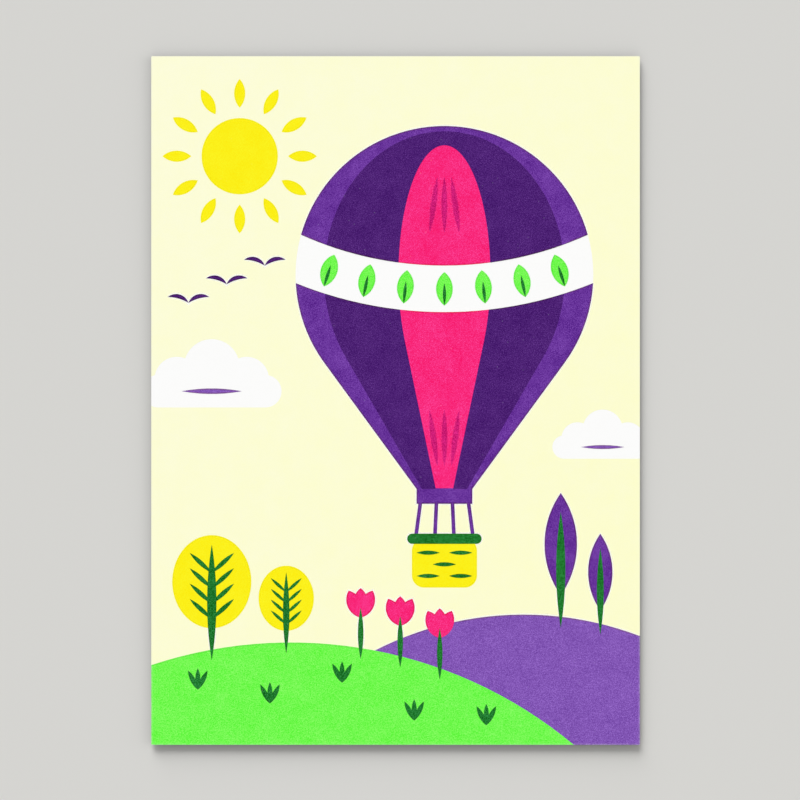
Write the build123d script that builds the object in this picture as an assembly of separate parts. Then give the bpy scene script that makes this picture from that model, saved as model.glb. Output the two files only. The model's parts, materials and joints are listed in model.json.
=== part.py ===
"""A picture postcard: a three-ply board that carries one ink film per printing plate.

The card lies on its back. X runs across the picture, Y towards its top and Z out of its face.
The origin is the middle of the back face. All lengths are millimetres and all angles degrees.

Each plate prints over the ones before it. Its film stands one step higher and laps a little over
its neighbours, so that no bare board shows along a seam between two inks.
"""

import os
from math import acos, atan2, cos, degrees, hypot, radians, sin, sqrt

from build123d import *

# Card blank
CARD_WIDTH = 105.0
CARD_HEIGHT = 148.0
CORNER_RADIUS = 0.25
BACK_PLY = 0.07
CORE_PLY = 0.25
FRONT_PLY = 0.08
INK_STEP = 0.003
INK_LAP = 0.15

# Balloon, placed from the upper and the right edge of the card
BALLOON_FROM_TOP = 47.0
BALLOON_FROM_RIGHT = 42.0
BALLOON_RADIUS = 32.0
BALLOON_DROP = 46.0
MOUTH_WIDTH = 12.0
CROWN_DEPTH = 6.0
GORE_ANGLE = 36.0
BAND_WIDTH = 10.0
BAND_RADIUS = 80.0
BAND_DROP = 3.0
BAND_LEAF_COUNT = 7
BAND_LEAF_LENGTH = 7.2
BAND_LEAF_WIDTH = 3.6
BAND_LEAF_PITCH = 8.4
BAND_VEIN_LENGTH = 4.8
BAND_VEIN_WIDTH = 0.7
PLEAT_LENGTH = 12.0
PLEAT_WIDTH = 1.2
PLEAT_PITCH = 1.5
PLEAT_SPREAD = 8.0
PLEAT_MARGIN = 5.0
SKIRT_DEPTH = 3.2
ROPE_LENGTH = 7.5
ROPE_WIDTH = 0.8
ROPE_COUNT = 4
ROPE_INSET = 0.8

# Basket
BASKET_WIDTH = 14.0
BASKET_HEIGHT = 10.5
BASKET_CORNER = 2.6
RIM_HEIGHT = 2.2
RIM_OVERHANG = 1.0
WEAVE_LENGTH = 5.0
WEAVE_WIDTH = 0.9
WEAVE_ROWS = 3
WEAVE_PITCH = 2.5
WEAVE_SPACING = 7.0
WEAVE_MARGIN = 1.9

# Sun, placed from the upper and the left edge
SUN_FROM_TOP = 21.5
SUN_FROM_LEFT = 19.0
SUN_RADIUS = 8.2
RAY_COUNT = 12
RAY_GAP = 2.2
RAY_LENGTH = 6.2
RAY_WIDTH = 2.4

# Clouds: a large one off the left edge, a smaller one off the right edge
CLOUD_FROM_TOP = 72.0
CLOUD_FROM_LEFT = 13.0
CLOUD_LENGTH = 30.0
CLOUD_DEPTH = 7.0
PUFF_RADIUS = 6.0
PUFF_RISE = 5.2
SIDE_PUFF_RADIUS = 4.8
SIDE_PUFF_RISE = 2.6
SIDE_PUFF_OFFSET = 7.5
CLOUD_STROKE_LENGTH = 13.0
CLOUD_STROKE_WIDTH = 1.2
SMALL_CLOUD_RATIO = 0.72
SMALL_CLOUD_FROM_TOP = 84.0
SMALL_CLOUD_FROM_RIGHT = 8.0

# Birds
BIRD_COUNT = 3
BIRD_WING = 4.6
BIRD_WING_WIDTH = 0.9
BIRD_WING_SWEEP = 110.0
BIRD_WING_TILT = 16.0
BIRD_FROM_LEFT = 8.0
BIRD_FROM_TOP = 53.0
BIRD_STEP_ACROSS = 8.2
BIRD_STEP_UP = 4.0

# Hills, each the cap of a circle; crests are heights over the lower edge
FAR_HILL_CREST = 28.0
FAR_HILL_FROM_LEFT = 80.0
FAR_HILL_RADIUS = 70.0
NEAR_HILL_CREST = 22.0
NEAR_HILL_FROM_LEFT = 30.0
NEAR_HILL_RADIUS = 95.0

# Trees
CROWN_WIDTH = 17.0
CROWN_HEIGHT = 20.0
CROWN_OVERLAP = 2.0
SMALL_TREE_RATIO = 0.7
POPLAR_WIDTH = 7.0
POPLAR_HEIGHT = 22.0
SMALL_POPLAR_RATIO = 0.75
TRUNK_LENGTH = 9.0
ROOT_DEPTH = 2.4
WOOD_LENGTH = 25.0
WOOD_WIDTH = 2.0
VEIN_PAIRS = 4
VEIN_PITCH = 3.3
VEIN_LENGTH = 6.4
VEIN_WIDTH = 1.0
VEIN_TILT = 48.0
TREE_FROM_LEFT = 13.0
SMALL_TREE_FROM_LEFT = 29.0
POPLAR_FROM_RIGHT = 17.0
SMALL_POPLAR_FROM_RIGHT = 8.5

# Tulips and grass on the near hill
TULIP_COUNT = 3
TULIP_FROM_LEFT = 45.0
TULIP_PITCH = 8.5
STEM_LENGTH = 11.0
STEM_WIDTH = 1.2
PETAL_COUNT = 3
PETAL_LENGTH = 6.4
PETAL_WIDTH = 3.2
PETAL_SPREAD = 24.0
CUP_OVERLAP = 2.1
TUFT_COUNT = 5
TUFT_FROM_LEFT = 10.0
TUFT_PITCH = 15.5
TUFT_DEPTH = 8.0
TUFT_STAGGER = 5.0
BLADE_COUNT = 3
BLADE_LENGTH = 4.6
BLADE_WIDTH = 1.1
BLADE_SPREAD = 27.0

# Divided back, read with the long side level
RULE_WIDTH = 0.35
DIVIDER_MARGIN = 11.5
ADDRESS_RULE_COUNT = 4
ADDRESS_RULE_PITCH = 9.5
ADDRESS_MARGIN = 9.0
ADDRESS_GAP = 8.0
STAMP_WIDTH = 22.0
STAMP_HEIGHT = 26.0
STAMP_MARGIN = 7.0

# Places worked out from the sizes above
LEFT = -CARD_WIDTH / 2
RIGHT = CARD_WIDTH / 2
TOP = CARD_HEIGHT / 2
BOTTOM = -CARD_HEIGHT / 2
BOARD = BACK_PLY + CORE_PLY + FRONT_PLY


def card_outline():
    """The trimmed card seen from the front."""
    return RectangleRounded(CARD_WIDTH, CARD_HEIGHT, CORNER_RADIUS)


def merged(shapes):
    """Several flat shapes as one."""
    return shapes[0] + shapes[1:] if len(shapes) > 1 else shapes[0]


def disc(x, y, radius):
    """A full round spot."""
    return Pos(x, y) * Circle(radius)


def lens(length, width, growth=0.0):
    """A pointed leaf along Y from the origin, where two equal circles overlap; growth widens it."""
    radius = (length**2 + width**2) / (4 * width)
    offset = radius - width / 2
    return disc(offset, length / 2, radius + growth) & disc(-offset, length / 2, radius + growth)


def resized(shape, ratio):
    """A shape made larger or smaller about the origin."""
    return scale(shape, ratio, about=(0, 0, 0))


def level_lens(length, width):
    """A pointed leaf along X about the origin."""
    return Rot(0, 0, -90) * Pos(0, -length / 2) * lens(length, width)


def fan(count, length, width, spread):
    """Leaves that open upwards from one point."""
    middle = (count - 1) / 2
    return merged([Rot(0, 0, (index - middle) * spread) * lens(length, width) for index in range(count)])


def crescent(radius, sweep, width):
    """A tapering arch about the origin: the top of a circle less a flatter circle through its two ends."""
    half_chord = radius * sin(radians(sweep / 2))
    inner_rise = radius - width - radius * cos(radians(sweep / 2))
    inner_radius = (half_chord**2 + inner_rise**2) / (2 * inner_rise)
    return Circle(radius) - disc(0, radius - width - inner_radius, inner_radius)


class Balloon:
    """A hot-air balloon: its gores lie between meridians, which are its outline squeezed in width."""

    place = Pos(RIGHT - BALLOON_FROM_RIGHT, TOP - BALLOON_FROM_TOP)
    inner_share = sin(radians(GORE_ANGLE / 2))
    outer_share = sin(radians(GORE_ANGLE * 3 / 2))
    skirt_bottom = -BALLOON_DROP - SKIRT_DEPTH
    basket_top = skirt_bottom - ROPE_LENGTH
    band_centre = Pos(0, BAND_RADIUS - BAND_DROP)

    def outline(self, share=1.0, growth=0.0):
        """The upper part of an ellipse, and two lines that touch it and run down to the mouth."""
        half_width = BALLOON_RADIUS * share + growth
        rise = BALLOON_RADIUS - CROWN_DEPTH * (1 - share) + growth
        half_mouth = MOUTH_WIDTH / 2 * share + growth
        squeeze = half_width / rise
        reach = hypot(half_mouth / squeeze, BALLOON_DROP)
        touch = atan2(-BALLOON_DROP, half_mouth / squeeze) + acos(rise / reach)
        side_x = half_width * cos(touch)
        side_y = rise * sin(touch)
        start = degrees(touch)
        arc = EllipticalCenterArc((0, 0), half_width, rise, start, arc_size=180 - 2 * start)
        mouth = [(half_mouth, -BALLOON_DROP), (-half_mouth, -BALLOON_DROP)]
        return self.place * make_face([arc, Polyline((side_x, side_y), *mouth, (-side_x, side_y))])

    def middle_gore(self):
        """The gore that faces the viewer; the next two lap over its sides."""
        return self.outline(self.inner_share, INK_LAP)

    def side_gores(self):
        """The two gores beside it."""
        return self.outline(self.outer_share) - self.outline(self.inner_share)

    def outer_gores(self):
        """The two gores at the rim; the side gores lap over their inner edges."""
        return self.outline() - self.outline(self.outer_share, -INK_LAP)

    def band(self, growth=0.0):
        """The bare band round the envelope: a ring that sags across it, as seen from below."""
        outer = Circle(BAND_RADIUS + BAND_WIDTH / 2 + growth)
        ring = outer - Circle(BAND_RADIUS - BAND_WIDTH / 2 - growth)
        return self.place * self.band_centre * ring & self.outline()

    def along_band(self, shape):
        """Copies of a shape spread along the band, upright in its middle."""
        step = degrees(BAND_LEAF_PITCH / BAND_RADIUS)
        middle = (BAND_LEAF_COUNT - 1) / 2
        turns = [Rot(0, 0, (index - middle) * step) for index in range(BAND_LEAF_COUNT)]
        return [self.place * self.band_centre * turn * Pos(0, -BAND_RADIUS) * shape for turn in turns]

    def band_leaves(self):
        """Upright leaves on the band."""
        return self.along_band(Pos(0, -BAND_LEAF_LENGTH / 2) * lens(BAND_LEAF_LENGTH, BAND_LEAF_WIDTH))

    def band_veins(self):
        """The vein of each leaf, which starts at its foot."""
        return self.along_band(Pos(0, -BAND_LEAF_LENGTH / 2) * lens(BAND_VEIN_LENGTH, BAND_VEIN_WIDTH))

    def pleats(self):
        """Tapering folds in the middle gore that fan out from its mouth and from its crown."""
        fold = lens(PLEAT_LENGTH, PLEAT_WIDTH)
        places = [Pos(side * PLEAT_PITCH, 0) * Rot(0, 0, -side * PLEAT_SPREAD) for side in (-1, 0, 1)]
        folds = merged([place * fold for place in places])
        mouth = Pos(0, PLEAT_MARGIN - BALLOON_DROP)
        crown = Pos(0, BALLOON_RADIUS - CROWN_DEPTH - PLEAT_MARGIN) * Rot(0, 0, 180)
        return self.place * merged([mouth * folds, crown * folds])

    def rigging(self):
        """The skirt under the mouth and the ropes from it to the basket."""
        skirt_height = SKIRT_DEPTH + INK_LAP
        shapes = [Pos(0, self.skirt_bottom + skirt_height / 2) * Rectangle(MOUTH_WIDTH, skirt_height)]
        for index in range(ROPE_COUNT):
            share = 2 * index / (ROPE_COUNT - 1) - 1
            upper = share * (MOUTH_WIDTH / 2 - ROPE_INSET)
            lower = share * (BASKET_WIDTH / 2 - ROPE_INSET)
            length = hypot(ROPE_LENGTH, lower - upper) + ROPE_WIDTH
            turn = Rot(0, 0, degrees(atan2(-ROPE_LENGTH, lower - upper)))
            middle = Pos((upper + lower) / 2, self.skirt_bottom - ROPE_LENGTH / 2)
            shapes.append(middle * turn * Rectangle(length, ROPE_WIDTH))
        return self.place * merged(shapes)

    def basket(self):
        """The body of the basket."""
        body = RectangleRounded(BASKET_WIDTH, BASKET_HEIGHT, BASKET_CORNER)
        return self.place * Pos(0, self.basket_top - BASKET_HEIGHT / 2) * body

    def wicker(self):
        """The rim of the basket and staggered strokes of its weave."""
        shapes = [Pos(0, self.basket_top) * SlotOverall(BASKET_WIDTH + 2 * RIM_OVERHANG, RIM_HEIGHT)]
        stroke = level_lens(WEAVE_LENGTH, WEAVE_WIDTH)
        for row in range(WEAVE_ROWS):
            y = self.basket_top - RIM_HEIGHT / 2 - WEAVE_MARGIN - row * WEAVE_PITCH
            places = (0,) if row % 2 else (-WEAVE_SPACING / 2, WEAVE_SPACING / 2)
            shapes += [Pos(x, y) * stroke for x in places]
        return self.place * merged(shapes)


def sun():
    """A disc with pointed rays about it."""
    ray = Pos(0, SUN_RADIUS + RAY_GAP) * lens(RAY_LENGTH, RAY_WIDTH)
    rays = [Rot(0, 0, index * 360 / RAY_COUNT) * ray for index in range(RAY_COUNT)]
    return Pos(LEFT + SUN_FROM_LEFT, TOP - SUN_FROM_TOP) * merged([Circle(SUN_RADIUS)] + rays)


def cloud():
    """A long round-ended base with three puffs on it, the middle one highest."""
    base = SlotOverall(CLOUD_LENGTH, CLOUD_DEPTH)
    sides = [disc(side * SIDE_PUFF_OFFSET, SIDE_PUFF_RISE, SIDE_PUFF_RADIUS) for side in (-1, 1)]
    return merged([base, disc(0, PUFF_RISE, PUFF_RADIUS)] + sides)


def in_both_clouds(shape):
    """A shape at the large cloud's place, and its smaller copy at the small one's."""
    large = Pos(LEFT + CLOUD_FROM_LEFT, TOP - CLOUD_FROM_TOP)
    small = Pos(RIGHT - SMALL_CLOUD_FROM_RIGHT, TOP - SMALL_CLOUD_FROM_TOP)
    return merged([large * shape, small * resized(shape, SMALL_CLOUD_RATIO)])


def bird():
    """Two arched wings that meet at the body."""
    radius = BIRD_WING / 2 / sin(radians(BIRD_WING_SWEEP / 2))
    drop = radius * cos(radians(BIRD_WING_SWEEP / 2))
    arch = crescent(radius, BIRD_WING_SWEEP, BIRD_WING_WIDTH)
    wings = [Rot(0, 0, side * BIRD_WING_TILT) * Pos(side * BIRD_WING / 2, -drop) * arch for side in (-1, 1)]
    return merged(wings)


def birds():
    """A line of birds that climbs towards the right."""
    flock = []
    for index in range(BIRD_COUNT):
        x = LEFT + BIRD_FROM_LEFT + index * BIRD_STEP_ACROSS
        flock.append(Pos(x, TOP - BIRD_FROM_TOP + index * BIRD_STEP_UP) * bird())
    return merged(flock)


class Hill:
    """The cap of a circle, with its crest at a height over the lower edge of the card."""

    def __init__(self, crest, from_left, radius):
        self.x = LEFT + from_left
        self.y = BOTTOM + crest - radius
        self.radius = radius

    def shape(self, inset=0.0):
        """The whole circle, drawn in by the inset; the card's edge trims it."""
        return disc(self.x, self.y, self.radius - inset)

    def surface(self, x):
        """The place on the slope at x."""
        return Pos(x, self.y + sqrt(self.radius**2 - (x - self.x) ** 2))


FAR_HILL = Hill(FAR_HILL_CREST, FAR_HILL_FROM_LEFT, FAR_HILL_RADIUS)
NEAR_HILL = Hill(NEAR_HILL_CREST, NEAR_HILL_FROM_LEFT, NEAR_HILL_RADIUS)


class Tree:
    """A tree on a slope: its crown, and the trunk with the veins that run up into the crown."""

    def __init__(self, slope, x, ratio=1.0, pointed=False):
        self.place = slope.surface(x) * Pos(0, -ROOT_DEPTH)
        self.ratio = ratio
        self.pointed = pointed

    def crown(self):
        """An upright oval, or a pointed poplar, that reaches a little down over the trunk."""
        if self.pointed:
            shape = lens(POPLAR_HEIGHT, POPLAR_WIDTH)
        else:
            shape = Pos(0, CROWN_HEIGHT / 2) * Ellipse(CROWN_WIDTH / 2, CROWN_HEIGHT / 2)
        return self.place * resized(Pos(0, TRUNK_LENGTH - CROWN_OVERLAP) * shape, self.ratio)

    def wood(self):
        """The trunk, which tapers on up into the crown; a round crown also has pairs of slanting veins."""
        shapes = [lens(WOOD_LENGTH, WOOD_WIDTH)]
        vein = lens(VEIN_LENGTH, VEIN_WIDTH)
        for index in range(0 if self.pointed else VEIN_PAIRS):
            root = Pos(0, TRUNK_LENGTH + index * VEIN_PITCH)
            shapes += [root * Rot(0, 0, side * VEIN_TILT) * vein for side in (-1, 1)]
        return self.place * resized(merged(shapes), self.ratio)


def round_trees():
    """A large and a small round tree on the near hill."""
    large = Tree(NEAR_HILL, LEFT + TREE_FROM_LEFT)
    small = Tree(NEAR_HILL, LEFT + SMALL_TREE_FROM_LEFT, SMALL_TREE_RATIO)
    return [large, small]


def poplars():
    """A large and a small poplar on the far hill."""
    large = Tree(FAR_HILL, RIGHT - POPLAR_FROM_RIGHT, pointed=True)
    small = Tree(FAR_HILL, RIGHT - SMALL_POPLAR_FROM_RIGHT, SMALL_POPLAR_RATIO, pointed=True)
    return [large, small]


def tulip_places():
    """Where the stems of the tulips leave the near hill."""
    return [NEAR_HILL.surface(LEFT + TULIP_FROM_LEFT + index * TULIP_PITCH) for index in range(TULIP_COUNT)]


def tulip_stems():
    """Pointed stems that start inside the hill."""
    stem = Pos(0, -ROOT_DEPTH) * lens(STEM_LENGTH, STEM_WIDTH)
    return [place * stem for place in tulip_places()]


def tulip_cups():
    """A cup of petals about the tip of each stem."""
    petals = fan(PETAL_COUNT, PETAL_LENGTH, PETAL_WIDTH, PETAL_SPREAD)
    cup = Pos(0, STEM_LENGTH - ROOT_DEPTH - CUP_OVERLAP) * petals
    return [place * cup for place in tulip_places()]


def grass():
    """Tufts on the near hill, high and low in turn."""
    tuft = fan(BLADE_COUNT, BLADE_LENGTH, BLADE_WIDTH, BLADE_SPREAD)
    tufts = []
    for index in range(TUFT_COUNT):
        depth = TUFT_DEPTH + index % 2 * TUFT_STAGGER
        tufts.append(NEAR_HILL.surface(LEFT + TUFT_FROM_LEFT + index * TUFT_PITCH) * Pos(0, -depth) * tuft)
    return tufts


def plate_regions():
    """What each plate prints, in printing order, before the card's edge trims it."""
    balloon = Balloon()
    bare = balloon.band()
    round_crowns = [tree.crown() for tree in round_trees()]
    pointed_crowns = [tree.crown() for tree in poplars()]
    wood = [tree.wood() for tree in round_trees() + poplars()]
    cloud_strokes = in_both_clouds(level_lens(CLOUD_STROKE_LENGTH, CLOUD_STROKE_WIDTH))
    return {
        "cream_ink": card_outline() - in_both_clouds(cloud()) - balloon.band(INK_LAP),
        "yellow_ink": merged([sun(), balloon.basket()] + round_crowns),
        "lilac_ink": merged([FAR_HILL.shape() - NEAR_HILL.shape(INK_LAP), cloud_strokes]),
        "lime_ink": merged([NEAR_HILL.shape()] + balloon.band_leaves()),
        "pink_ink": merged([balloon.middle_gore() - bare] + tulip_cups()),
        "rose_ink": balloon.pleats(),
        "violet_ink": merged([balloon.outer_gores() - bare, balloon.rigging()] + pointed_crowns),
        "leaf_green_ink": merged([balloon.wicker()] + balloon.band_veins() + wood + tulip_stems() + grass()),
        "purple_ink": merged([balloon.side_gores() - bare, birds()]),
    }


def ink_films():
    """Each plate's film: its region from the board up to the plate's own step, less the films under it."""
    films = {}
    for step, (ink, region) in enumerate(plate_regions().items(), start=1):
        trimmed = region & card_outline()
        prism = Pos(0, 0, BOARD) * extrude(trimmed, step * INK_STEP, dir=(0, 0, 1))
        films[ink] = prism - list(films.values()) if films else prism
    return films


def ply(bottom, thickness):
    """One paper layer of the board."""
    return Pos(0, 0, bottom) * extrude(card_outline(), thickness)


def divider_rule():
    """The rule between the message and the address, across the middle of the back."""
    return Rectangle(CARD_WIDTH - 2 * DIVIDER_MARGIN, RULE_WIDTH)


def address_rules():
    """Rules for the address, along the long edges, on the lower part of the address side."""
    length = TOP - ADDRESS_GAP - ADDRESS_MARGIN
    rules = []
    for index in range(ADDRESS_RULE_COUNT):
        x = LEFT + ADDRESS_MARGIN + index * ADDRESS_RULE_PITCH
        rules.append(Pos(x, ADDRESS_GAP + length / 2) * Rectangle(RULE_WIDTH, length))
    return merged(rules)


def stamp_frame():
    """A plain frame where the stamp goes, in the upper corner of the address side."""
    place = Pos(RIGHT - STAMP_MARGIN - STAMP_HEIGHT / 2, TOP - STAMP_MARGIN - STAMP_WIDTH / 2)
    inner = Rectangle(STAMP_HEIGHT - 2 * RULE_WIDTH, STAMP_WIDTH - 2 * RULE_WIDTH)
    return place * (Rectangle(STAMP_HEIGHT, STAMP_WIDTH) - inner)


def back_print():
    """The marks on the back: ink soaked into the ply, flush with its face."""
    marks = {"divider_rule": divider_rule(), "address_rules": address_rules(), "stamp_frame": stamp_frame()}
    return {name: extrude(mark, INK_STEP, dir=(0, 0, 1)) for name, mark in marks.items()}


def postcard_pieces():
    """Every piece of the card by name, from the back to the front."""
    pieces = back_print()
    pieces["back_ply"] = ply(0, BACK_PLY) - list(pieces.values())
    pieces["core_ply"] = ply(BACK_PLY, CORE_PLY)
    pieces["front_ply"] = ply(BACK_PLY + CORE_PLY, FRONT_PLY)
    pieces.update(ink_films())
    return pieces


def main():
    """Writes one STEP file per piece."""
    os.makedirs("parts", exist_ok=True)
    for name, piece in postcard_pieces().items():
        export_step(piece, f"parts/{name}.step")
        print(name, len(piece.solids()), "solids", round(piece.volume, 3), "mm3")


main()
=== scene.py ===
"""Looks of a picture postcard: printed inks on an uncoated board, and a plain studio to see it in.

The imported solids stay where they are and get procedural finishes. Thin strips are added along the printed
edges. All lengths are metres and X runs across the picture, Y towards its top and Z out of its face.
"""

import json
from math import cos, pi, sin
from typing import NamedTuple

import bpy
import numpy as np
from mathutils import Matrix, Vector


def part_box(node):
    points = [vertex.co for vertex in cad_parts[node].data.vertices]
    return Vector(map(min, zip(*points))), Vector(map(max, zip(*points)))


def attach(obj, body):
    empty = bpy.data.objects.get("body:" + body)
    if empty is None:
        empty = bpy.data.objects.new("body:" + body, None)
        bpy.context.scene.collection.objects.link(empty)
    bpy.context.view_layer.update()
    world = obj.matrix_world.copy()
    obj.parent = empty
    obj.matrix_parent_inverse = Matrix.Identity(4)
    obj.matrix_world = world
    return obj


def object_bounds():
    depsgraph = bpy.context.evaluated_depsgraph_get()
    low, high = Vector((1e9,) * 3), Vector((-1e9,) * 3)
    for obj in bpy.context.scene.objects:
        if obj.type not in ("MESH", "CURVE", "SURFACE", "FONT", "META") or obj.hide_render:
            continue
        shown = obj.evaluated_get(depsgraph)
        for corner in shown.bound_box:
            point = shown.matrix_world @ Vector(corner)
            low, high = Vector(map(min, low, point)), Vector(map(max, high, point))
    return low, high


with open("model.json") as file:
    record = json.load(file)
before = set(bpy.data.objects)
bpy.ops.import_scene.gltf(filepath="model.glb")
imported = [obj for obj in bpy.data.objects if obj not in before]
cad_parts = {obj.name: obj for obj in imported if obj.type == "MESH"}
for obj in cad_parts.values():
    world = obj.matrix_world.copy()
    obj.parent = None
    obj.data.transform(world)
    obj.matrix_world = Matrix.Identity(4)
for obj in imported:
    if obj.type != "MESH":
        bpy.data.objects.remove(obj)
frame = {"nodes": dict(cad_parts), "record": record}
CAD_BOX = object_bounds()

bl_info = {
    "name": "Picture postcard",
    "version": (1, 0, 0),
    "blender": (4, 5, 0),
    "location": "3D View > Sidebar > Postcard",
    "description": "Finishes the packed solids of a printed postcard and sets up its studio",
    "category": "Object",
}

BODY = "root"
ACROSS = "across"
GROUND = "cream_ink"
RECORD_COLOURS = {row["slot"]: row["base_color"] for row in frame["record"]["materials"]}
HALF_WIDTH = CAD_BOX[1].x
HALF_HEIGHT = CAD_BOX[1].y
FACE = CAD_BOX[1].z


class Ink(NamedTuple):
    """How a plate prints, with tones in 8-bit steps.

    The spreads of its fine grain and of its broad patches, the share of the light that its squeezed rim
    takes, how much paler it is in the upper left corner of the card than in the middle, and whether the cream
    is spread out round it, so that it has a bare line outside its edge and cream under its rim.
    """

    grain: float
    cloud: float
    rim: float = 0.0
    drift: float = 0.0
    spread: bool = False


INKS = {
    "cream_ink": Ink(grain=0.5, cloud=1.0, drift=6.0),
    "yellow_ink": Ink(grain=3.0, cloud=2.6, rim=0.04),
    "lilac_ink": Ink(grain=4.6, cloud=1.7, rim=0.04, spread=True),
    "lime_ink": Ink(grain=7.0, cloud=2.9, rim=0.1),
    "pink_ink": Ink(grain=6.0, cloud=4.0, rim=0.15, spread=True),
    "rose_ink": Ink(grain=8.0, cloud=5.0),
    "violet_ink": Ink(grain=5.2, cloud=4.4, rim=0.05, spread=True),
    "leaf_green_ink": Ink(grain=12.0, cloud=5.0, rim=0.06, spread=True),
    "purple_ink": Ink(grain=5.4, cloud=2.4, rim=0.08, spread=True),
}
PLIES = ("front_ply", "core_ply", "back_ply")
BACK_MARKS = ("divider_rule", "address_rules", "stamp_frame")

# Tones are mixed between a shade and a tint that lie this many 8-bit steps from the colour itself
INK_REACH = 40.0
PAPER_REACH = 9.0
MARK_REACH = 19.0
STEPS = 255.0
EYE_GAMMA = 2.2
# The display's curve: a straight foot up to a level, then a power
FOOT = 0.0031308
FOOT_SLOPE = 12.92
CURVE_OFFSET = 0.055
CURVE_POWER = 2.4

# The middle of a noise, of a tone and of a brushed edge
MIDDLE = 0.5
# How much each finer layer of a noise counts
LAYER_SHARE = 0.6
# Spreads of the fine and the broad noise about their middle, as a render's pixels see them
GRAIN_SPREAD = 0.03
CLOUD_SPREAD = 0.08

# Pinholes: the draw above which a cell has one, the distances over which it closes, in cells,
# and the grain at which it would be fully open
PINHOLE_DRAW = 0.88
PINHOLE_CLOSES = (0.05, 0.13)
PINHOLE_GRAIN = 50.0
# Parts of the tooth and of the fibres in the paper's height, and how much higher it stands without ink
TOOTH_PART = 0.8
FIBRE_PART = 0.2
BARE_TOOTH = 2
# Fibres: half their width in noise, how many times as wide the patches are that hold them,
# and the noise over which those come in
FIBRE_WIDTH = 0.03
FIBRE_PATCH = 3
FIBRE_HOLD = (0.5, 0.6)
# How far the streaks, the clouds and the fibres take the tone of the board
STREAK_TONE = 0.5
CLOUD_TONE = 0.5
FIBRE_TONE = 0.12
# The rub along the card's edges: the noise over which it takes hold, and the share of board that it bares
RUB_HOLD = (0.3, 0.7)
RUB_SHARE = 0.2
# Marks on the back: how many times finer than the tooth they break up, the noise over which they do,
# and the share of board that shows in the gaps
MARK_FINENESS = 3
MARK_BREAKS = (0.52, 0.72)
MARK_GAP_SHARE = 0.6
# Squeezed rims: the lanes of the strip, and the shares across it over which the rim comes in
RIM_LANES = 3
RIM_FADE = (0.0, 0.7)
# The hairline: its shares from the ink outwards, those over which it comes in, how ragged the grain makes it,
# and the share of board that it bares
HAIRLINE_SHARES = (1.0, 0.7, 0.0)
HAIRLINE_FADE = (0.0, 0.8)
HAIRLINE_RAGGED = 0.5
HAIRLINE_BARE = 0.75
# The brushed edges: the lanes of the strip, the noise that makes specks, and how soft a speck's edge is
BRUSH_LANES = 5
BRUSH_SPECKS = (0.28, 0.72)
SPECK_EDGE = 0.12

# Points closer than the first of these are one point, and the second is a step off an edge
SAME_POINT = 1e-7
EDGE_STEP = 1e-4
# The squared sum of two unit normals at a right angle, since a sharper corner gets no longer mitre
MITRE_LIMIT = 2.0
# The parts in which the room for a strip inside a film is counted
ROOM_PARTS = 4

# The floor: its points round, its rings and the share at which they start
FLOOR_TURNS = 96
FLOOR_RINGS = 40
FLOOR_START = 0.02
# How many times as far out as it starts the floor's fade ends
FLOOR_FADE_END = 4
# Ray depths between the first fall of light on a surface and later ones, from a sun and from the sky
SUN_DEPTH = 1.5
SKY_DEPTH = 2.5
# Turns from the picture's top to its left
FROM_RIGHT = -pi / 2
FROM_FOOT = pi


class Matt(NamedTuple):
    """The roughness of a finish in the middle, and how far a noise swings it."""

    middle: float
    swing: float


# Specular level of the matt inks and the board
SHEEN = 0.05
INK_MATT = Matt(middle=0.72, swing=0.3)
RIM_MATT = Matt(middle=0.66, swing=0.3)
HAIRLINE_MATT = Matt(middle=0.76, swing=0.2)
BRUSH_MATT = Matt(middle=0.72, swing=0.1)
PAPER_MATT = Matt(middle=0.82, swing=0.2)
MARK_MATT = Matt(middle=0.8, swing=0.2)


def slot_colour(slot, name, description):
    """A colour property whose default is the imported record's colour for a material slot."""
    return bpy.props.FloatVectorProperty(
        name=name,
        description=description,
        default=RECORD_COLOURS[slot],
        size=3,
        min=0.0,
        max=1.0,
        subtype="COLOR",
    )


def length(name, description, default):
    """A length property in metres, fine enough for paper."""
    return bpy.props.FloatProperty(
        name=name, description=description, default=default, min=0.0, precision=6, unit="LENGTH"
    )


def share(name, description, default):
    """A property from none to all of something."""
    return bpy.props.FloatProperty(
        name=name, description=description, default=default, min=0.0, max=1.0, subtype="FACTOR"
    )


def angle(name, description, default):
    """An angle property in radians."""
    return bpy.props.FloatProperty(name=name, description=description, default=default, subtype="ANGLE")


class PostcardColours(bpy.types.PropertyGroup):
    """Colours of the inks, the board and the marks on the back."""

    cream_ink: slot_colour("cream_ink", "Cream", "Ground of the picture")
    yellow_ink: slot_colour("yellow_ink", "Yellow", "Sun, tree crowns and basket")
    lilac_ink: slot_colour("lilac_ink", "Lilac", "Far hill and the strokes in the clouds")
    lime_ink: slot_colour("lime_ink", "Lime", "Near hill and the leaves on the band")
    pink_ink: slot_colour("pink_ink", "Pink", "Middle gore and tulips")
    rose_ink: slot_colour("rose_ink", "Rose", "Pleats, brushed over the pink")
    violet_ink: slot_colour("violet_ink", "Violet", "Outer gores, rigging and poplars")
    leaf_green_ink: slot_colour("leaf_green_ink", "Leaf green", "Wood, veins, stems, grass and wicker")
    purple_ink: slot_colour("purple_ink", "Purple", "Side gores and birds")
    front_ply: slot_colour("front_ply", "Front ply", "Bare face of the board")
    core_ply: slot_colour("core_ply", "Core ply", "Middle of the board, seen on its cut edge")
    back_ply: slot_colour("back_ply", "Back ply", "Writing side of the board")
    divider_rule: slot_colour("divider_rule", "Divider", "Rule that divides the back")
    address_rules: slot_colour("address_rules", "Address rules", "Rules for the address")
    stamp_frame: slot_colour("stamp_frame", "Stamp frame", "Frame where the stamp goes")


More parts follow.
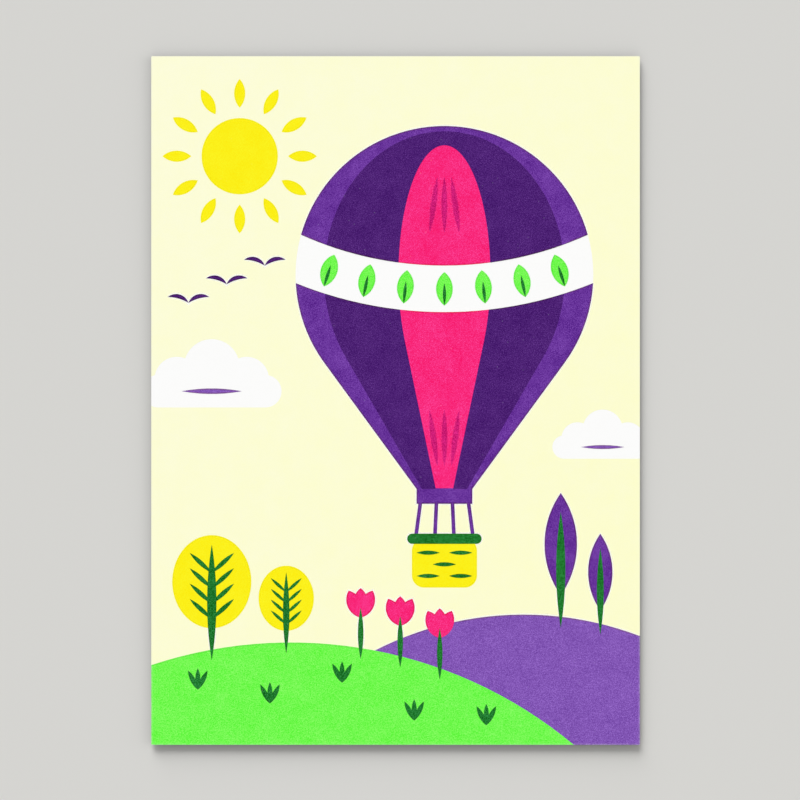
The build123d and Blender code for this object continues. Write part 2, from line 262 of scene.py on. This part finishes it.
class PostcardPaper(bpy.types.PropertyGroup):
    """Sizes of what shows in the board."""

    tooth: length("Tooth", "Width of the bumps in the paper's surface", 0.00045)
    tooth_height: length("Tooth height", "Height of those bumps", 0.0000012)
    cloud: length("Cloud", "Width of the cloudy tones in the board", 0.004)
    fibre: length("Fibre", "Width of the loops that the fibres lie in", 0.0009)
    layer: length("Layer", "Length of the streaks along the cut edge", 0.0012)
    layer_depth: length("Layer depth", "Thickness of those streaks", 0.00003)
    rub: length("Rub", "How far in from the edge of the card the ink is rubbed paler", 0.0005)


class PostcardPrint(bpy.types.PropertyGroup):
    """Sizes of what shows in the print."""

    grain: length("Grain", "Width of the ink's fine grain", 0.00015)
    cloud: length("Cloud", "Width of the uneven patches in the ink", 0.005)
    pinhole: length("Pinhole", "Spacing of the pinholes in the ink", 0.0011)
    rim: length("Rim", "Width of the darker rim where ink is squeezed to its edge", 0.0004)
    hairline: length("Hairline", "Width of the bare line in the cream round the deep inks", 0.00036)
    brush: length("Brush", "How far the brushed pleats feather out on each side", 0.0003)
    lift: length("Lift", "Height of the strips over the film that they lie on", 0.0000015)


class PostcardStage(bpy.types.PropertyGroup):
    """The camera, the lights and the floor."""

    view_width: length("View width", "Width of what the camera sees at the card's face", 0.17192)
    view_right: length("View right", "How far the view's middle lies right of the card's", 0.000952)
    view_up: length("View up", "How far the view's middle lies above the card's", 0.000107)
    lens: bpy.props.FloatProperty(
        name="Lens", description="Focal length of the camera", default=200.0, min=1.0, unit="CAMERA"
    )
    sky: share("Sky", "Share of the light that comes evenly from all round", 0.38)
    key: share("Key", "Share of the light that comes low from the picture's top", 0.5)
    side: share("Side", "Share of the light that comes low from the picture's right", 0.07)
    front: share("Front", "Share of the light that comes low from the picture's foot", 0.03)
    below: share("Below", "Share of the back's light that comes from under the card", 0.6)
    below_angle: angle("Below angle", "How far under the floor that light stands", 1.3)
    low_angle: angle("Low angle", "Height of the low lights over the floor", 0.42)
    low_spread: angle("Low spread", "Width of the low lights, which softens their shadows", 0.76)
    key_turn: angle("Key turn", "Turn of the key light from the picture's top to its left", 0.26)
    floor_radius: length("Floor radius", "Reach of the floor", 4.0)
    floor_fade: length("Floor fade", "Where the floor starts to pass into the backdrop", 0.5)
    floor_gap: length("Floor gap", "How far the floor lies under the card", 0.0009)
    floor_colour: bpy.props.FloatVectorProperty(
        name="Floor",
        description="Colour of the floor and of the backdrop",
        default=(0.68, 0.675, 0.65),
        size=3,
        min=0.0,
        max=1.0,
        subtype="COLOR",
    )


class PostcardSettings(bpy.types.PropertyGroup):
    """All the settings of the postcard."""

    colours: bpy.props.PointerProperty(
        name="Colours", description="Colours of the card", type=PostcardColours
    )
    paper: bpy.props.PointerProperty(name="Paper", description="Sizes in the board", type=PostcardPaper)
    print: bpy.props.PointerProperty(name="Print", description="Sizes in the print", type=PostcardPrint)
    stage: bpy.props.PointerProperty(name="Stage", description="Camera, lights and floor", type=PostcardStage)


class Wire:
    """What leaves a node. Arithmetic on a number adds Math nodes."""

    def __init__(self, sheet, socket):
        self.sheet = sheet
        self.socket = socket

    def output(self, key):
        """Another output of the same node."""
        return Wire(self.sheet, self.socket.node.outputs[key])

    def math(self, operation, *values):
        """A Math node on the values."""
        return self.sheet.node("Math", {"operation": operation}, dict(enumerate(values)))

    def __add__(self, other):
        return self.math("ADD", self, other)

    def __radd__(self, other):
        return self.math("ADD", other, self)

    def __sub__(self, other):
        return self.math("SUBTRACT", self, other)

    def __rsub__(self, other):
        return self.math("SUBTRACT", other, self)

    def __mul__(self, other):
        return self.math("MULTIPLY", self, other)

    def __rmul__(self, other):
        return self.math("MULTIPLY", other, self)

    def __truediv__(self, other):
        return self.math("DIVIDE", self, other)

    def __rtruediv__(self, other):
        return self.math("DIVIDE", other, self)

    def __gt__(self, other):
        return self.math("GREATER_THAN", self, other)

    def __lt__(self, other):
        return self.math("LESS_THAN", self, other)

    def __abs__(self):
        return self.math("ABSOLUTE", self)

    def least(self, other):
        """The lower of two numbers."""
        return self.math("MINIMUM", self, other)

    def smooth(self, start, end):
        """0 up to the start, 1 from the end on, and a smooth rise between them."""
        sockets = {"Value": self, "From Min": start, "From Max": end}
        return self.sheet.node("MapRange", {"interpolation_type": "SMOOTHSTEP"}, sockets)


class Sheet:
    """A node tree that grows node by node."""

    def __init__(self, tree):
        self.tree = tree

    def node(self, kind, settings=None, sockets=None, output=0):
        """Adds a node: its settings first, then the values or links of its sockets, by name or number."""
        made = self.tree.nodes.new("ShaderNode" + kind)
        for setting, value in (settings or {}).items():
            setattr(made, setting, value)
        self.connect(made, sockets or {})
        return Wire(self, made.outputs[output])

    def connect(self, made, sockets):
        """Links or sets the sockets of a node."""
        for key, value in sockets.items():
            if isinstance(value, Wire):
                self.tree.links.new(value.socket, made.inputs[key])
            else:
                made.inputs[key].default_value = value

    def place(self):
        """The point on the surface, in the object's own metres."""
        return self.node("TexCoord", output="Object")

    def plan(self, place):
        """How far right and up a point lies from the middle of the card."""
        x = self.node("SeparateXYZ", {}, {0: place})
        return x, x.output("Y")

    def across(self):
        """The share that is kept across a strip."""
        return self.node("Attribute", {"attribute_name": ACROSS}, output="Fac")

    def first_fall(self, depth):
        """1 for light that falls on what the camera sees, and 0 for light that is thrown on from there."""
        return self.node("LightPath", output="Ray Depth") < depth

    def noise(self, place, size, detail=1.0):
        """A soft random number about one half, with features of a size and finer layers for more detail."""
        sockets = {"Vector": place, "Scale": 1.0 / size, "Detail": detail, "Roughness": LAYER_SHARE}
        return self.node("TexNoise", {}, sockets)

    def mix(self, factor, first, second):
        """A colour between two others, which the node's sockets 6 and 7 take and its output 2 gives."""
        return self.node("Mix", {"data_type": "RGBA"}, {0: factor, 6: first, 7: second}, output=2)

    def toned(self, tone, colour, reach):
        """A colour in its shades below a tone of one half and its tints above it, in even steps to the eye.

        The three channels move alike by as many 8-bit steps as the reach, but none by more than its room
        below white or above black, so that the middle tone stays the colour itself.
        """
        middle = shown(colour)
        step = np.minimum(np.minimum(middle, 1.0 - middle), reach / STEPS)
        ends = [opaque(lit(middle + side * step) ** (1 / EYE_GAMMA)) for side in (-1, 1)]
        return self.node("Gamma", {}, {"Color": self.mix(tone, *ends), "Gamma": EYE_GAMMA})

    def from_edge(self, place):
        """How far a point lies in from the nearest edge of the card."""
        x, y = self.plan(place)
        return (HALF_WIDTH - abs(x)).least(HALF_HEIGHT - abs(y))


class Finish(Sheet):
    """A material on the Principled shader."""

    def __init__(self, name):
        self.material = bpy.data.materials.new(name)
        self.material.use_nodes = True
        super().__init__(self.material.node_tree)
        self.shader = self.tree.nodes["Principled BSDF"]

    def surface(self, **sockets):
        """Sets the shader's sockets; an underscore stands for a space in a name."""
        self.connect(self.shader, {key.replace("_", " "): value for key, value in sockets.items()})

    def matt(self, roughness, noise):
        """Makes the surface matt, with a roughness that a noise swings about its middle."""
        swung = roughness.middle + (noise - MIDDLE) * roughness.swing
        self.surface(Roughness=swung, Specular_IOR_Level=SHEEN)

    def bump(self, height, distance):
        """Bends the normal by a height that runs from 0 to 1 over a distance."""
        self.surface(Normal=self.node("Bump", {}, {"Strength": 1.0, "Distance": distance, "Height": height}))


def opaque(colour):
    """A colour as a socket takes it."""
    return (*colour, 1.0)


def shown(colour):
    """A linear colour on the display's curve."""
    linear = np.asarray(colour, dtype=float)
    power = (1 + CURVE_OFFSET) * linear ** (1 / CURVE_POWER) - CURVE_OFFSET
    return np.where(linear <= FOOT, linear * FOOT_SLOPE, power)


def lit(channels):
    """A colour on the display's curve as a linear one."""
    power = ((channels + CURVE_OFFSET) / (1 + CURVE_OFFSET)) ** CURVE_POWER
    return np.where(channels <= FOOT * FOOT_SLOPE, channels / FOOT_SLOPE, power)


def tone_of(sheet, place, ink, sizes):
    """Where an ink lies between its shade and its tint: fine grain and broad patches about the middle."""
    grain = sheet.noise(place, sizes.grain) - MIDDLE
    cloud = sheet.noise(place, sizes.cloud, detail=4.0) - MIDDLE
    grain_gain = ink.grain / (2 * INK_REACH * GRAIN_SPREAD)
    cloud_gain = ink.cloud / (2 * INK_REACH * CLOUD_SPREAD)
    tone = MIDDLE + grain * grain_gain + cloud * cloud_gain
    if not ink.drift:
        return tone
    x, y = sheet.plan(place)
    corner = y / (2 * HALF_HEIGHT) - x / (2 * HALF_WIDTH)
    return tone + corner * (ink.drift / (2 * INK_REACH))


def pinholes(sheet, place, spacing):
    """1 in a few small round spots: where a point is close to the middle of one cell in eight."""
    spot = sheet.node("TexVoronoi", {}, {"Vector": place, "Scale": 1.0 / spacing})
    chosen = sheet.node("SeparateColor", {}, {0: spot.output("Color")}) > PINHOLE_DRAW
    return chosen * (1 - spot.smooth(*PINHOLE_CLOSES))


def fibres(sheet, place, sizes):
    """1 along thin broken lines: where a noise passes its middle, in some patches."""
    line = 1 - abs(sheet.noise(place, sizes.fibre) - MIDDLE).smooth(0.0, FIBRE_WIDTH)
    return line * sheet.noise(place, sizes.fibre * FIBRE_PATCH).smooth(*FIBRE_HOLD)


def emboss(finish, place, sizes, times=1):
    """Gives a finish the paper's tooth, and fibres that stand out a little, at so many times their height."""
    tooth = finish.noise(place, sizes.tooth, detail=2.0)
    height = tooth * TOOTH_PART + fibres(finish, place, sizes) * FIBRE_PART
    finish.bump(height, sizes.tooth_height * times)


def ink_finish(slot, settings):
    """Matt ink on toothed paper: grain, patches and pinholes, and a paler rub along the card's edges."""
    ink = INKS[slot]
    paper = settings.paper
    board = opaque(settings.colours.front_ply)
    finish = Finish(slot)
    place = finish.place()
    tone = tone_of(finish, place, ink, settings.print)
    printed = finish.toned(tone, getattr(settings.colours, slot), INK_REACH)
    open_spots = pinholes(finish, place, settings.print.pinhole) * (ink.grain / PINHOLE_GRAIN)
    worn = finish.mix(open_spots, printed, board)
    rub = 1 - finish.from_edge(place).smooth(0.0, paper.rub)
    rubbed = rub * finish.noise(place, paper.tooth, detail=2.0).smooth(*RUB_HOLD) * RUB_SHARE
    finish.surface(Base_Color=finish.mix(rubbed, worn, board))
    finish.matt(INK_MATT, finish.noise(place, paper.tooth))
    emboss(finish, place, paper)
    return finish


def paper_finish(slot, settings):
    """Uncoated board: cloudy tone, fibres on its faces and streaks along its cut edge."""
    paper = settings.paper
    finish = Finish(slot)
    place = finish.place()
    flattened = (1.0, 1.0, paper.layer / paper.layer_depth)
    along = finish.node("VectorMath", {"operation": "MULTIPLY"}, {0: place, 1: flattened})
    streaks = finish.noise(along, paper.layer, detail=3.0)
    clouds = finish.noise(place, paper.cloud, detail=3.0)
    tone = MIDDLE + (streaks - MIDDLE) * STREAK_TONE + (clouds - MIDDLE) * CLOUD_TONE
    tone = tone + fibres(finish, place, paper) * FIBRE_TONE
    finish.surface(Base_Color=finish.toned(tone, getattr(settings.colours, slot), PAPER_REACH))
    finish.matt(PAPER_MATT, streaks)
    emboss(finish, place, paper, BARE_TOOTH)
    return finish


def mark_finish(slot, settings):
    """Grey ink soaked into the board: it breaks up a little over the paper's tooth."""
    paper = settings.paper
    finish = Finish(slot)
    place = finish.place()
    tooth = finish.noise(place, paper.tooth / MARK_FINENESS, detail=2.0)
    gaps = tooth.smooth(*MARK_BREAKS) * MARK_GAP_SHARE
    soaked = finish.toned(tooth, getattr(settings.colours, slot), MARK_REACH)
    finish.surface(Base_Color=finish.mix(gaps, soaked, opaque(settings.colours.back_ply)))
    finish.matt(MARK_MATT, tooth)
    emboss(finish, place, paper, BARE_TOOTH)
    return finish


def rim_finish(slot, settings):
    """Ink squeezed to the edge of its film: deeper in tone, and fading inwards into the film."""
    ink = INKS[slot]
    colour = np.array(getattr(settings.colours, slot)) * (1 - ink.rim)
    if ink.spread:
        colour = colour * np.array(settings.colours.cream_ink)
    finish = Finish(slot + "_rim")
    place = finish.place()
    tone = tone_of(finish, place, ink, settings.print)
    finish.surface(
        Base_Color=finish.toned(tone, colour, INK_REACH),
        Alpha=finish.across().smooth(*RIM_FADE),
    )
    finish.matt(RIM_MATT, finish.noise(place, settings.paper.tooth))
    emboss(finish, place, settings.paper)
    return finish


def hairline_finish(settings):
    """The cream thins out next to a deep ink, so that the board shows through it."""
    finish = Finish("bare_hairline")
    place = finish.place()
    grain = finish.noise(place, settings.print.grain)
    ragged = finish.across() + (grain - MIDDLE) * HAIRLINE_RAGGED
    finish.surface(
        Base_Color=finish.toned(grain, settings.colours.front_ply, PAPER_REACH),
        Alpha=ragged.smooth(*HAIRLINE_FADE) * HAIRLINE_BARE,
    )
    finish.matt(HAIRLINE_MATT, grain)
    emboss(finish, place, settings.paper)
    return finish


def brush_finish(settings):
    """A dry brush: specks of rose outside the edge of a stroke, and specks of pink inside it."""
    finish = Finish("pleat_brush")
    place = finish.place()
    across = finish.across()
    speck = finish.noise(place, settings.print.grain, detail=2.0).smooth(*BRUSH_SPECKS)
    covered = 1 - across.smooth(0.0, 1.0)
    rose_here = (covered - speck).smooth(-SPECK_EDGE, SPECK_EDGE)
    outside = across > MIDDLE
    pink = opaque(settings.colours.pink_ink)
    rose = opaque(settings.colours.rose_ink)
    finish.surface(
        Base_Color=finish.mix(outside, pink, rose),
        Alpha=outside * rose_here + (1 - outside) * (1 - rose_here),
    )
    finish.matt(BRUSH_MATT, speck)
    emboss(finish, place, settings.paper)
    return finish


class Rim(NamedTuple):
    """The printed edge of a film: its corners in plan, and the pairs of them that edges join.

    The film lies on the left of each edge.
    """

    corners: np.ndarray
    edges: np.ndarray

    def normals(self):
        """The unit normal of each edge, out of the film."""
        run = self.corners[self.edges[:, 1]] - self.corners[self.edges[:, 0]]
        return np.stack([run[:, 1], -run[:, 0]], axis=1) / np.linalg.norm(run, axis=1, keepdims=True)

    def outward(self):
        """The mitre of the edges at each corner.

        With s the sum of their unit normals and n their number, it is n s / |s|^2, which lies one unit
        outside each edge; |s|^2 is held above a limit, so that a sharp tip draws no spike.
        """
        normals = self.normals()
        total = np.zeros_like(self.corners)
        meeting = np.zeros((len(self.corners), 1))
        for end in (0, 1):
            np.add.at(total, self.edges[:, end], normals)
            np.add.at(meeting, self.edges[:, end], 1.0)
        return total * meeting / np.maximum((total**2).sum(axis=1, keepdims=True), MITRE_LIMIT)

    def beside(self):
        """A point just outside the middle of each edge."""
        return self.corners[self.edges].mean(axis=1) + self.normals() * EDGE_STEP

    def kept(self, chosen):
        """The rim with its chosen edges only, and with their corners."""
        used, edges = np.unique(self.edges[chosen], return_inverse=True)
        return Rim(self.corners[used], edges.reshape(-1, 2))


def joined_rims(rims):
    """Several rims as one."""
    starts = np.cumsum([0] + [len(rim.corners) for rim in rims[:-1]])
    return Rim(
        np.concatenate([rim.corners for rim in rims]),
        np.concatenate([rim.edges + start for rim, start in zip(rims, starts)]),
    )


def upper_face(slot):
    """The upper face of a film: its corners in plan, each of them once, and its triangles."""
    mesh = frame["nodes"][slot].data
    points = np.empty(len(mesh.vertices) * 3, dtype=np.float32)
    mesh.vertices.foreach_get("co", points)
    points = points.reshape(-1, 3).astype(float)
    triangles = np.empty(len(mesh.loops), dtype=np.int32)
    mesh.loops.foreach_get("vertex_index", triangles)
    triangles = triangles.reshape(-1, 3)
    upper = triangles[(points[triangles, 2] > points[:, 2].max() - SAME_POINT).all(axis=1)]
    grid = np.round(points[:, :2] / SAME_POINT).astype(np.int64)
    _, first, index = np.unique(grid, axis=0, return_index=True, return_inverse=True)
    return points[first, :2], index.reshape(-1)[upper]


def covers(slot, points):
    """Whether a film has ink at points in plan: where one of its triangles has them left of all its sides."""
    corners, triangles = upper_face(slot)
    start = corners[triangles]
    side = np.roll(start, -1, axis=1) - start
    reach = points[:, None, None, :] - start
    left_of = side[..., 0] * reach[..., 1] - side[..., 1] * reach[..., 0]
    return (left_of >= 0).all(axis=2).any(axis=1)


def film_rim(slot):
    """The printed edge of a film: the edges that one triangle of its upper face has to itself.

    Those along the trimmed card are left out.
    """
    corners, upper = upper_face(slot)
    edges = np.concatenate([upper[:, [0, 1]], upper[:, [1, 2]], upper[:, [2, 0]]])
    count = len(corners)
    alone = ~np.isin(edges[:, 0] * count + edges[:, 1], edges[:, 1] * count + edges[:, 0])
    inset = np.minimum(HALF_WIDTH - np.abs(corners[:, 0]), HALF_HEIGHT - np.abs(corners[:, 1]))
    printed = (inset[edges] > EDGE_STEP).any(axis=1)
    return Rim(corners, edges).kept(alone & printed)


def open_rim(slot):
    """The part of a film's printed edge that has the cream or the bare board beside it, and no other ink."""
    rim = film_rim(slot)
    others = [other for other in INKS if other not in {slot, GROUND}]
    inked = np.any([covers(other, rim.beside()) for other in others], axis=0)
    return rim.kept(~inked)


def ground_rim(slot):
    """The part of a film's printed edge that has the cream beside it."""
    rim = open_rim(slot)
    return rim.kept(covers(GROUND, rim.beside()))


def room(slot, corners, reach):
    """The share of a reach from each corner that stays on a film, in even parts."""
    parts = np.arange(1, ROOM_PARTS + 1) / ROOM_PARTS
    inside = [covers(slot, corners + part * reach) for part in parts]
    return np.cumprod(inside, axis=0).mean(axis=0)


def strip(name, rim, offsets, shares, height, finish, slot):
    """A level strip along a rim: point(corner, offset) = corner + offset * outward, held inside the card.

    A strip inside its film takes no more than half of the film's width. The shares, one for each offset, are
    kept as an attribute, so that the finish can follow the rim. The strip is part of the print, so it throws
    neither shadow nor light on the film under it.
    """
    lanes = len(offsets)
    outward = rim.outward()
    if offsets.max() <= 0:
        outward = outward * room(slot, rim.corners, 2 * offsets.min() * outward)[:, None]
    plan = rim.corners[:, None, :] + offsets[None, :, None] * outward[:, None, :]
    plan = np.clip(plan, (-HALF_WIDTH, -HALF_HEIGHT), (HALF_WIDTH, HALF_HEIGHT))
    points = np.dstack([plan, np.full(plan.shape[:2], height)]).reshape(-1, 3)
    lane = np.arange(lanes - 1)
    start = rim.edges[:, :1] * lanes + lane
    end = rim.edges[:, 1:] * lanes + lane
    faces = np.stack([start, start + 1, end + 1, end], axis=2).reshape(-1, 4)
    mesh = bpy.data.meshes.new(name)
    mesh.from_pydata(points.tolist(), [], faces.tolist())
    attribute = mesh.attributes.new(ACROSS, "FLOAT", "POINT")
    attribute.data.foreach_set("value", np.tile(shares, len(rim.corners)).astype(np.float32))
    mesh.materials.append(finish.material)
    piece = bpy.data.objects.new(name, mesh)
    piece.visible_shadow = False
    piece.visible_diffuse = False
    bpy.context.scene.collection.objects.link(piece)
    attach(piece, BODY)


def film_top(slot):
    """The height of a film's upper face."""
    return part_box(slot)[1].z


def dress(node, finish):
    """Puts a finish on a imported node."""
    mesh = frame["nodes"][node].data
    mesh.materials.clear()
    mesh.materials.append(finish.material)


class POSTCARD_OT_board(bpy.types.Operator):
    """Finishes the three plies of the board"""

    bl_idname = "postcard.board"
    bl_label = "Finish the board"

    def execute(self, context):
        for ply in PLIES:
            dress(ply, paper_finish(ply, context.scene.postcard))
        return {"FINISHED"}


class POSTCARD_OT_inks(bpy.types.Operator):
    """Finishes the film of each printing plate"""

    bl_idname = "postcard.inks"
    bl_label = "Finish the inks"

    def execute(self, context):
        for slot in INKS:
            dress(slot, ink_finish(slot, context.scene.postcard))
        return {"FINISHED"}


class POSTCARD_OT_back_marks(bpy.types.Operator):
    """Finishes the rules and the frame on the back"""

    bl_idname = "postcard.back_marks"
    bl_label = "Finish the marks on the back"

    def execute(self, context):
        for mark in BACK_MARKS:
            dress(mark, mark_finish(mark, context.scene.postcard))
        return {"FINISHED"}


class POSTCARD_OT_squeezed_rims(bpy.types.Operator):
    """Adds the darker rim inside the printed edge of each ink"""

    bl_idname = "postcard.squeezed_rims"
    bl_label = "Add the squeezed rims"

    def execute(self, context):
        settings = context.scene.postcard
        sizes = settings.print
        shares = np.linspace(0, 1, RIM_LANES)
        offsets = (shares - 1) * sizes.rim
        for slot, ink in INKS.items():
            if ink.rim:
                height = film_top(slot) + sizes.lift
                finish = rim_finish(slot, settings)
                strip(slot + "_rim", open_rim(slot), offsets, shares, height, finish, slot)
        return {"FINISHED"}


class POSTCARD_OT_hairline(bpy.types.Operator):
    """Adds the bare line in the cream round the deep inks"""

    bl_idname = "postcard.hairline"
    bl_label = "Add the bare hairline"

    def execute(self, context):
        settings = context.scene.postcard
        sizes = settings.print
        rim = joined_rims([ground_rim(slot) for slot, ink in INKS.items() if ink.spread])
        offsets = np.linspace(0, sizes.hairline, len(HAIRLINE_SHARES))
        height = film_top(GROUND) + sizes.lift
        finish = hairline_finish(settings)
        strip("bare_hairline", rim, offsets, HAIRLINE_SHARES, height, finish, "front_ply")
        return {"FINISHED"}


class POSTCARD_OT_brushed_pleats(bpy.types.Operator):
    """Feathers the edges of the pleats as a dry brush does"""

    bl_idname = "postcard.brushed_pleats"
    bl_label = "Brush the pleats"

    def execute(self, context):
        settings = context.scene.postcard
        sizes = settings.print
        shares = np.linspace(0, 1, BRUSH_LANES)
        offsets = (2 * shares - 1) * sizes.brush
        height = film_top("rose_ink") + sizes.lift
        finish = brush_finish(settings)
        strip("pleat_brush", film_rim("rose_ink"), offsets, shares, height, finish, "rose_ink")
        return {"FINISHED"}


def floor_mesh(radius, height):
    """A round sheet: at turn a and share t of the radius, a point lies radius t^2 out from the middle."""
    turns = np.linspace(0, 2 * pi, FLOOR_TURNS, endpoint=False)
    reach = radius * np.linspace(FLOOR_START, 1, FLOOR_RINGS) ** 2
    x = reach[:, None] * np.cos(turns)
    y = reach[:, None] * np.sin(turns)
    points = np.dstack([x, y, np.full(x.shape, height)]).reshape(-1, 3)
    inner = np.arange(FLOOR_RINGS - 1)[:, None] * FLOOR_TURNS
    outer = inner + FLOOR_TURNS
    here = np.arange(FLOOR_TURNS)
    following = (here + 1) % FLOOR_TURNS
    faces = np.stack([inner + here, outer + here, outer + following, inner + following], axis=2)
    mesh = bpy.data.meshes.new("floor")
    mesh.from_pydata(points.tolist(), [], [here.tolist()] + faces.reshape(-1, 4).tolist())
    return mesh


def floor_finish(stage):
    """A pale matt sheet that passes into the backdrop far out and is clear from below."""
    material = bpy.data.materials.new("floor")
    material.use_nodes = True
    sheet = Sheet(material.node_tree)
    sheet.tree.nodes.remove(sheet.tree.nodes["Principled BSDF"])
    colour = opaque(stage.floor_colour)
    far = sheet.node("VectorMath", {"operation": "LENGTH"}, {0: sheet.place()}, output="Value")
    faded = far.smooth(stage.floor_fade, stage.floor_fade * FLOOR_FADE_END)
    matt = sheet.node("BsdfDiffuse", {}, {"Color": colour})
    backdrop = sheet.node("Emission", {}, {"Color": colour})
    seen = sheet.node("MixShader", {}, {0: faded, 1: matt, 2: backdrop})
    below = sheet.node("NewGeometry", output="Backfacing")
    clear = sheet.node("BsdfTransparent")
    ended = sheet.node("MixShader", {}, {0: below, 1: seen, 2: clear})
    sheet.connect(sheet.tree.nodes["Material Output"], {"Surface": ended})
    return material


def add_floor(stage):
    """The floor, which takes the card's shadow and keeps no light from its underside."""
    mesh = floor_mesh(stage.floor_radius, CAD_BOX[0].z - stage.floor_gap)
    mesh.materials.append(floor_finish(stage))
    floor = bpy.data.objects.new("floor", mesh)
    bpy.context.scene.collection.objects.link(floor)
    floor.visible_diffuse = False
    floor.visible_glossy = False
    floor.visible_transmission = False
    floor.visible_shadow = False


def add_sky(stage):
    """Even light from all round; the camera and mirror rays see the backdrop instead.

    As with the suns, only its first fall counts, so that the card throws no light into its own shadow. Rays
    meet the sky and are never aimed at it, so that its first fall has one depth.
    """
    world = bpy.data.worlds.new("sky")
    world.cycles.sampling_method = "NONE"
    world.use_nodes = True
    sheet = Sheet(world.node_tree)
    path = sheet.node("LightPath", output="Is Camera Ray")
    direct = path + path.output("Is Glossy Ray") + path.output("Is Transmission Ray")
    light = opaque((stage.sky,) * 3)
    seen = sheet.mix(direct, light, opaque(stage.floor_colour))
    sheet.connect(sheet.tree.nodes["Background"], {"Color": seen, "Strength": sheet.first_fall(SKY_DEPTH)})
    bpy.context.scene.world = world


def add_sun(name, part, turn, height, spread):
    """A sun that gives a level face its part of the light, at a turn from the picture's top to its left.

    It stands at a height over the floor, or under it where the height is negative. It stays out of the sheen.
    Rays are aimed at it and never meet it by chance, so that its first fall has one depth.
    """
    lamp = bpy.data.lights.new(name, "SUN")
    lamp.energy = part * pi / abs(sin(height))
    lamp.angle = spread
    lamp.cycles.use_multiple_importance_sampling = False
    lamp.use_nodes = True
    sheet = Sheet(lamp.node_tree)
    sheet.connect(sheet.tree.nodes["Emission"], {"Strength": sheet.first_fall(SUN_DEPTH)})
    flat = cos(height)
    towards = Vector((-sin(turn) * flat, cos(turn) * flat, sin(height)))
    light = bpy.data.objects.new(name, lamp)
    light.location = towards
    light.rotation_mode = "QUATERNION"
    light.rotation_quaternion = towards.to_track_quat("Z", "Y")
    light.visible_camera = False
    light.visible_glossy = False
    bpy.context.scene.collection.objects.link(light)


def add_camera(stage):
    """A long lens straight over the card."""
    view = bpy.data.cameras.new("view")
    view.lens = stage.lens
    distance = stage.view_width * view.lens / view.sensor_width
    camera = bpy.data.objects.new("view", view)
    camera.location = (stage.view_right, stage.view_up, FACE + distance)
    bpy.context.scene.collection.objects.link(camera)
    bpy.context.scene.camera = camera


class POSTCARD_OT_stage(bpy.types.Operator):
    """Sets up the floor, the lights and the camera"""

    bl_idname = "postcard.stage"
    bl_label = "Set up the stage"

    def execute(self, context):
        stage = context.scene.postcard.stage
        add_floor(stage)
        add_sky(stage)
        add_sun("key", stage.key, stage.key_turn, stage.low_angle, stage.low_spread)
        add_sun("side", stage.side, FROM_RIGHT, stage.low_angle, stage.low_spread)
        add_sun("front", stage.front, FROM_FOOT, stage.low_angle, stage.low_spread)
        add_sun("below", stage.below, FROM_FOOT, -stage.below_angle, stage.low_spread)
        add_camera(stage)
        context.scene.view_settings.view_transform = "Standard"
        return {"FINISHED"}


PROPERTY_GROUPS = (PostcardColours, PostcardPaper, PostcardPrint, PostcardStage, PostcardSettings)
OPERATORS = (
    POSTCARD_OT_board,
    POSTCARD_OT_inks,
    POSTCARD_OT_back_marks,
    POSTCARD_OT_squeezed_rims,
    POSTCARD_OT_hairline,
    POSTCARD_OT_brushed_pleats,
    POSTCARD_OT_stage,
)


class POSTCARD_PT_settings(bpy.types.Panel):
    """Settings of the postcard and the steps that build it"""

    bl_idname = "POSTCARD_PT_settings"
    bl_label = "Postcard"
    bl_space_type = "VIEW_3D"
    bl_region_type = "UI"
    bl_category = "Postcard"

    def draw(self, context):
        settings = context.scene.postcard
        for group in (settings.colours, settings.paper, settings.print, settings.stage):
            column = self.layout.column()
            for name in group.bl_rna.properties.keys():
                if name not in {"rna_type", "name"}:
                    column.prop(group, name)
        for operator in OPERATORS:
            self.layout.operator(operator.bl_idname)


CLASSES = (*PROPERTY_GROUPS, *OPERATORS, POSTCARD_PT_settings)


def register():
    """Makes the settings, the steps and the panel known."""
    for each in CLASSES:
        bpy.utils.register_class(each)
    bpy.types.Scene.postcard = bpy.props.PointerProperty(
        name="Postcard", description="Settings of the postcard", type=PostcardSettings
    )


def unregister():
    """Takes them away again."""
    del bpy.types.Scene.postcard
    for each in reversed(CLASSES):
        bpy.utils.unregister_class(each)


def main():
    """Builds the postcard step by step."""
    register()
    bpy.ops.postcard.board()
    bpy.ops.postcard.inks()
    bpy.ops.postcard.back_marks()
    bpy.ops.postcard.squeezed_rims()
    bpy.ops.postcard.hairline()
    bpy.ops.postcard.brushed_pleats()
    bpy.ops.postcard.stage()


if __name__ == "__main__":
    main()
